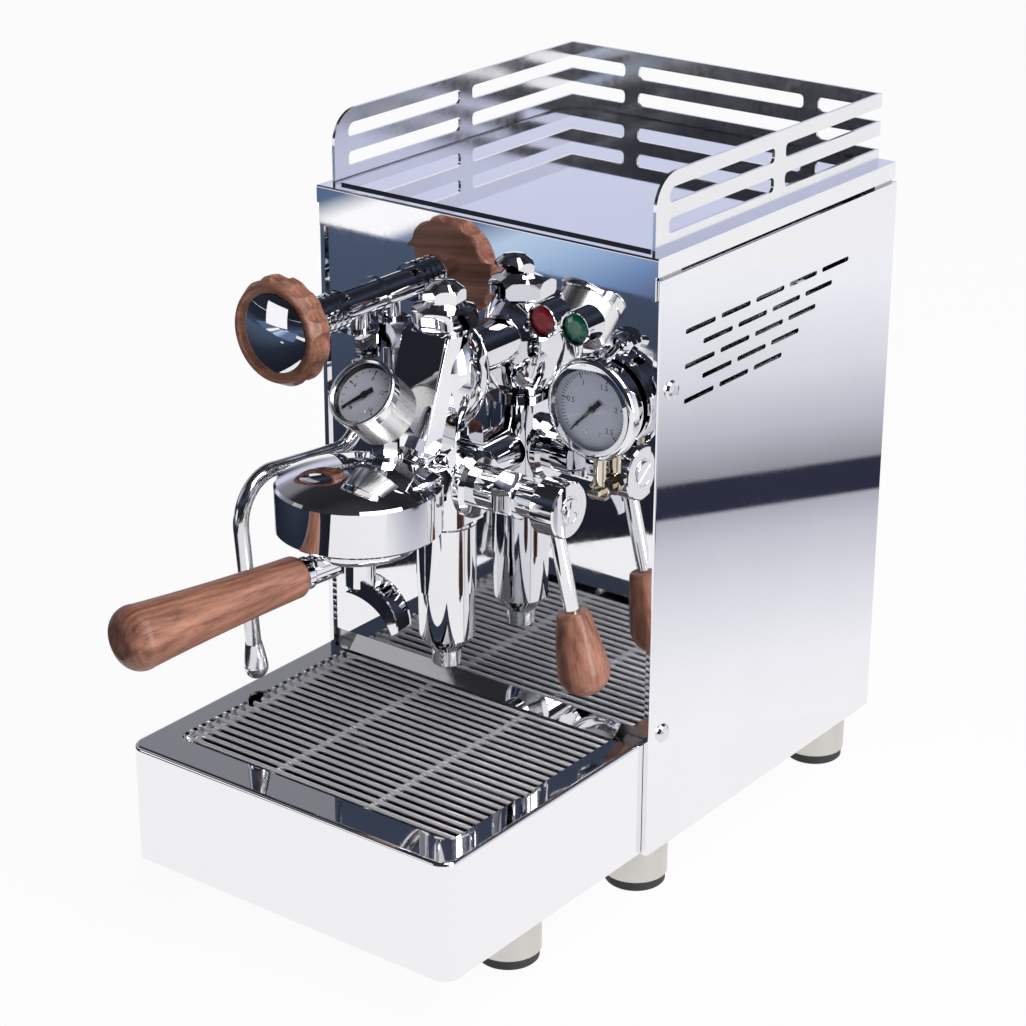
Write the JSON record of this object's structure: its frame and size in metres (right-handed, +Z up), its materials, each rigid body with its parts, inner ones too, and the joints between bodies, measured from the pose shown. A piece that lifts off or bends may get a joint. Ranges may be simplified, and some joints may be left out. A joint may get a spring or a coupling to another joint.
{
  "type": "espresso machine",
  "caption": "Polished steel espresso machine with a lever brew group, walnut-handled portafilter, steam wand, pressure gauges, railed cup tray and a pull-out drip tray.",
  "frame": {"origin": "on the table under the middle of the machine's outer box", "axes": "+X to the machine's right as seen by its user, +Y to its rear, +Z up"},
  "size_m": [0.2552, 0.5392, 0.4544],
  "materials": {
    "mirror_steel": "polished stainless steel sheet",
    "chrome": "bright chrome on cast and turned brass",
    "stainless_steel": "polished stainless steel",
    "satin_steel": "satin stainless steel",
    "walnut": "oiled walnut",
    "black_rubber": "black rubber",
    "brass": "turned brass",
    "dial_white": "silver-white printed dial",
    "needle_black": "black painted pointer",
    "clear_glass": "flat clear glass",
    "red_lens": "cut red lens",
    "green_lens": "cut green lens",
    "black_plastic": "black moulded plastic",
    "tank_plastic": "translucent white plastic"
  },
  "bodies": {
    "machine": {"side_panel_left": "mirror_steel", "side_panel_right": "mirror_steel", "rear_panel": "mirror_steel", "front_panel": "mirror_steel", "top_cover": "mirror_steel", "cup_rail": "mirror_steel", "group_body": "chrome", "group_collar_nut": "chrome", "group_cap_nut": "chrome", "discharge_body": "chrome", "discharge_tip": "chrome", "lever_bush": "chrome", "lever_gland": "chrome", "group_gauge_stem": "chrome", "group_gauge_case": "chrome", "boiler_gauge_case": "chrome", "steam_valve_body": "chrome", "steam_valve_bonnet": "chrome", "wand_nut": "chrome", "lamp_bezels": "chrome", "switch_bush": "chrome", "panel_screws": "stainless_steel", "shower_screen": "stainless_steel", "foot_sleeves": "satin_steel", "base_frame": "satin_steel", "boiler": "satin_steel", "foot_pads": "black_rubber", "group_gasket": "black_rubber", "boiler_gauge_fitting": "brass", "heating_element": "brass", "group_gauge_dial": "dial_white", "boiler_gauge_dial": "dial_white", "group_gauge_lens": "clear_glass", "boiler_gauge_lens": "clear_glass", "lamp_lens_red": "red_lens", "lamp_lens_green": "green_lens", "power_inlet": "black_plastic", "control_box": "black_plastic", "vibration_pump": "black_plastic", "water_tank": "tank_plastic"},
    "brew_lever": {"lever_shaft": "stainless_steel", "lever_hub": "chrome", "lever_arm": "chrome", "lever_knob": "walnut"},
    "portafilter": {"portafilter_body": "chrome", "filter_basket": "stainless_steel", "portafilter_spout": "chrome", "portafilter_ferrule": "chrome", "portafilter_handle": "walnut"},
    "steam_knob": {"steam_spindle": "stainless_steel", "steam_knob_ring": "walnut", "steam_knob_cap": "chrome"},
    "steam_wand": {"wand_tube": "stainless_steel", "wand_tip": "stainless_steel"},
    "drip_tray": {"drip_tray": "mirror_steel"},
    "drip_grate": {"drip_grate": "stainless_steel"},
    "switch_bat": {"switch_bat": "chrome"},
    "cup_tray": {"cup_tray": "mirror_steel"},
    "boiler_needle": {"boiler_gauge_needle": "needle_black"},
    "group_needle": {"group_gauge_needle": "needle_black"}
  },
  "joints": [
    {"name": "lever_turn", "type": "hinge", "parent": "machine", "child": "brew_lever", "pos_m": [0.07, -0.02893, 0.263], "axis": [-1, 0, 0], "range_deg": [0, 85]},
    {"name": "portafilter_turn", "type": "hinge", "parent": "machine", "child": "portafilter", "pos_m": [0, -0.10793, 0.262], "axis": [0, 0, 1], "range_deg": [-48, 12]},
    {"name": "steam_knob_turn", "type": "hinge", "parent": "machine", "child": "steam_knob", "pos_m": [-0.084, -0.03893, 0.3475], "axis": [0, -1, 0], "range_deg": [0, 360]},
    {"name": "wand_swing", "type": "hinge", "parent": "machine", "child": "steam_wand", "pos_m": [-0.084, -0.00643, 0.3225], "axis": [0, 0, 1], "range_deg": [-60, 8]},
    {"name": "drip_tray_slide", "type": "slide", "parent": "machine", "child": "drip_tray", "axis": [0, -1, 0], "range_m": [0, 0.195]},
    {"name": "drip_grate_lift", "type": "slide", "parent": "drip_tray", "child": "drip_grate", "axis": [0, 0, 1], "range_m": [0, 0.025]},
    {"name": "switch_tilt", "type": "hinge", "parent": "machine", "child": "switch_bat", "pos_m": [0.101, 0.00407, 0.3575], "axis": [-1, 0, 0], "range_deg": [0, 38]},
    {"name": "cup_tray_lift", "type": "slide", "parent": "machine", "child": "cup_tray", "axis": [0, 0, 1], "range_m": [0, 0.06]},
    {"name": "boiler_needle_turn", "type": "hinge", "parent": "machine", "child": "boiler_needle", "pos_m": [0.0895, -0.00393, 0.3181], "axis": [0, 1, 0], "range_deg": [0, 270]},
    {"name": "group_needle_turn", "type": "hinge", "parent": "machine", "child": "group_needle", "pos_m": [0, -0.10393, 0.3365], "axis": [0, 0.7431, -0.6691], "range_deg": [0, 270]}
  ]
}
